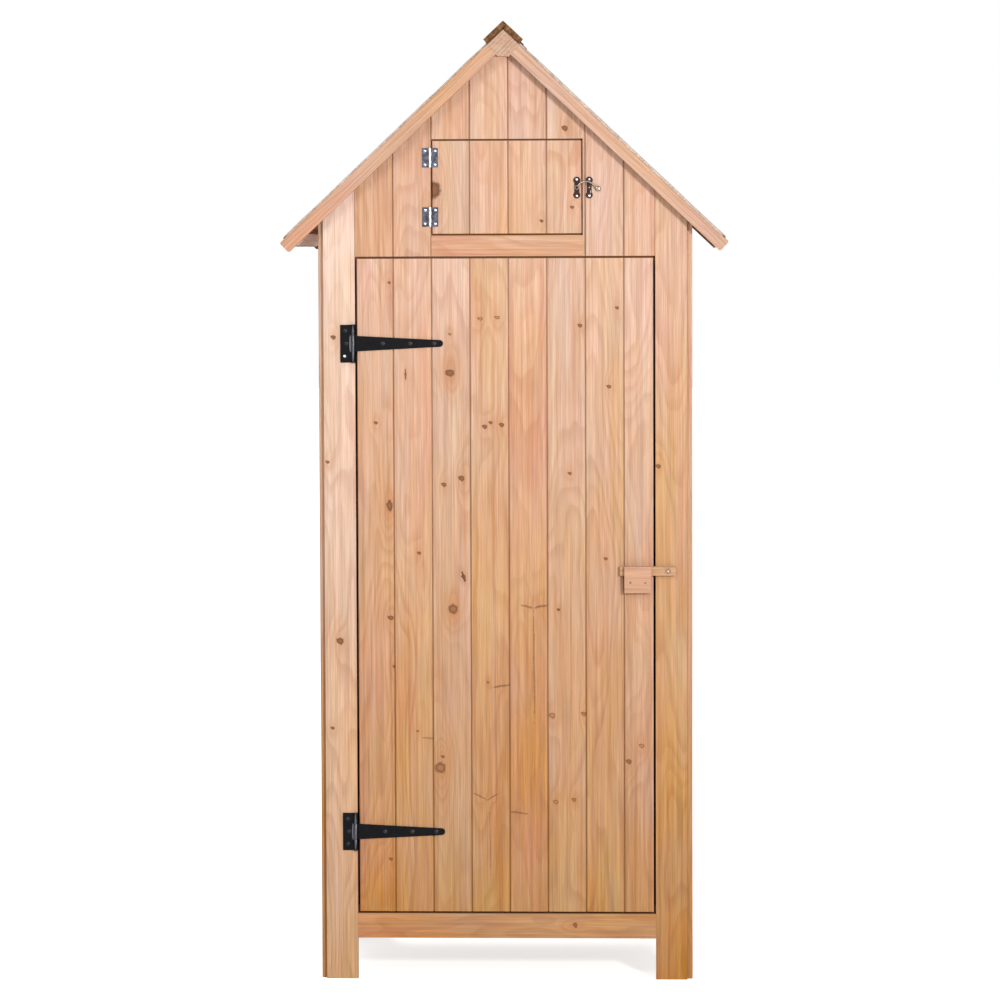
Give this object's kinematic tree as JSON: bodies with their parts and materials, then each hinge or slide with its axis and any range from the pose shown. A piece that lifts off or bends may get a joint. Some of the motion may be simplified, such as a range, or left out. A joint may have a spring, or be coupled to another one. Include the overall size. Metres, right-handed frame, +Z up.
{
  "type": "storage locker",
  "caption": "Tall boarded wooden garden locker with a steep felted roof, a full-height ledged door on tee hinges, a small hatch above it and a turning wooden latch.",
  "frame": {"origin": "on the ground at the centre of the roof's plan", "axes": "+X to the right seen from the front, +Y to the back, +Z up"},
  "size_m": [0.7596, 0.54, 1.638],
  "materials": {
    "fir_pale": "planed softwood, pale, lightly oiled",
    "fir_warm": "planed softwood, dip treated, warm",
    "fir_frame": "sawn softwood, dip treated",
    "mineral_felt": "mineral-faced roofing felt",
    "japanned_steel": "satin black paint",
    "zinc_plate": "bright zinc plate",
    "antique_bronze": "antique bronze plate"
  },
  "bodies": {
    "carcase": {"front_post_left": "fir_pale", "front_post_right": "fir_pale", "mid_rail": "fir_pale", "gable_boards": "fir_pale", "ridge_beam": "fir_pale", "bottom_rail": "fir_warm", "side_boards_left": "fir_warm", "side_boards_right": "fir_warm", "back_boards": "fir_warm", "roof_boards_left": "fir_warm", "roof_boards_right": "fir_warm", "front_barge_left": "fir_warm", "front_barge_right": "fir_warm", "rear_barges": "fir_warm", "side_frame_left": "fir_frame", "side_frame_right": "fir_frame", "back_rails": "fir_frame", "front_rails": "fir_frame", "gable_battens": "fir_frame", "floor_boards": "fir_frame", "floor_bearers": "fir_frame", "loft_floor": "fir_frame", "upper_shelf": "fir_frame", "lower_shelf": "fir_frame", "eave_battens": "fir_frame", "roof_felt_left": "mineral_felt", "roof_felt_right": "mineral_felt", "ridge_cap": "mineral_felt", "upper_hinge_plate": "japanned_steel", "lower_hinge_plate": "japanned_steel", "frame_screws": "japanned_steel", "tee_hinge_pins": "zinc_plate", "hatch_hinge_fixed_leaves": "zinc_plate", "hatch_hinge_pins": "zinc_plate", "hatch_hinge_screws": "zinc_plate", "latch_pivot_screw": "zinc_plate", "hook_keeper": "antique_bronze"},
    "door": {"door_board_1": "fir_warm", "door_board_2": "fir_warm", "door_board_3": "fir_warm", "door_board_4": "fir_warm", "door_board_5": "fir_warm", "door_board_6": "fir_warm", "door_board_7": "fir_warm", "door_board_8": "fir_warm", "door_ledges": "fir_warm", "door_braces": "fir_warm", "upper_hinge_strap": "japanned_steel", "lower_hinge_strap": "japanned_steel", "door_screws": "japanned_steel", "latch_keeper_cover": "fir_pale", "latch_keeper_spacer": "fir_pale"},
    "hatch": {"hatch_boards": "fir_pale", "hatch_ledges": "fir_warm", "hatch_hinge_moving_leaves": "zinc_plate", "hatch_screws": "zinc_plate", "hook_plate": "antique_bronze"},
    "hook": {"hook": "antique_bronze"},
    "latch": {"latch_bar": "fir_pale"}
  },
  "joints": [
    {"name": "door_hinge", "type": "hinge", "parent": "carcase", "child": "door", "pos_m": [-0.2585, -0.2388, 0.67378], "axis": [0, 0, -1], "range_deg": [0, 170]},
    {"name": "hatch_hinge", "type": "hinge", "parent": "carcase", "child": "hatch", "pos_m": [-0.1265, -0.2376, 1.35783], "axis": [0, 0, -1], "range_deg": [0, 120]},
    {"name": "hook_pivot", "type": "hinge", "parent": "hatch", "child": "hook", "pos_m": [0.1232, -0.2386, 1.35655], "axis": [0, -1, 0], "range_deg": [0, 95]},
    {"name": "latch_turn", "type": "hinge", "parent": "carcase", "child": "latch", "pos_m": [0.2778, -0.2403, 0.70391], "axis": [0, 1, 0], "range_deg": [0, 100]}
  ]
}
